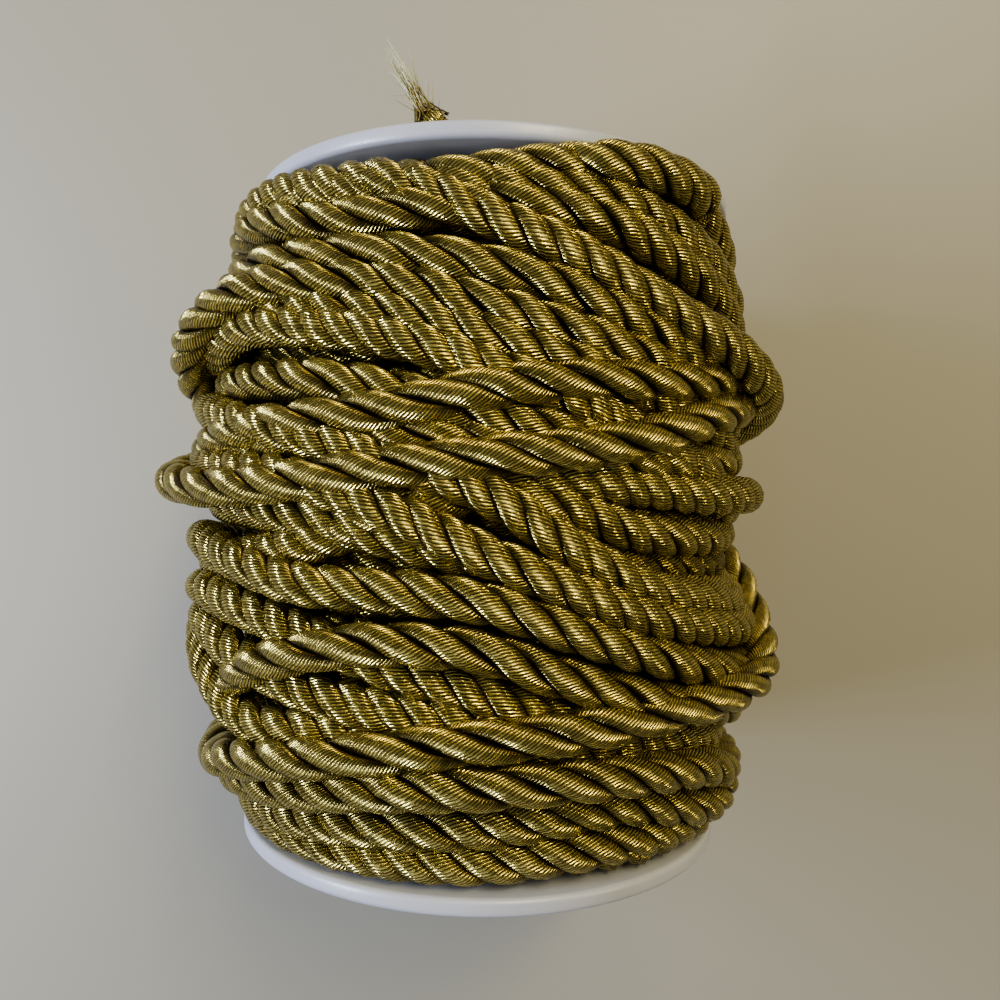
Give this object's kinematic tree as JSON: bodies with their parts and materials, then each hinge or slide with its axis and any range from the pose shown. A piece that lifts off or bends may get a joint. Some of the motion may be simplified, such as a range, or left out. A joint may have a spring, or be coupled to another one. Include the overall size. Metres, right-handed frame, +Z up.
{
  "type": "reel of twisted cord",
  "caption": "Thick metallic gold twisted cord wound loosely on a white plastic reel lying on its side, with the cord's frayed inner end out through the head flange.",
  "frame": {"origin": "on the resting surface, at the middle of the flat spot under the reel", "axes": "+Z up, +Y along the reel's axis towards the head flange that the loose end comes out of, +X to the right of the picture"},
  "size_m": [0.1117, 0.1428, 0.1043],
  "materials": {
    "white_plastic": "smooth moulded plastic",
    "gold_cord": "metallic thread wrapped round each ply, bright along the crests",
    "frayed_thread": "loose metallic threads and pale core yarn"
  },
  "bodies": {
    "root": {"reel": "white_plastic", "winding": "gold_cord", "loose_end": "gold_cord", "frayed_tuft": "frayed_thread"}
  },
  "joints": []
}
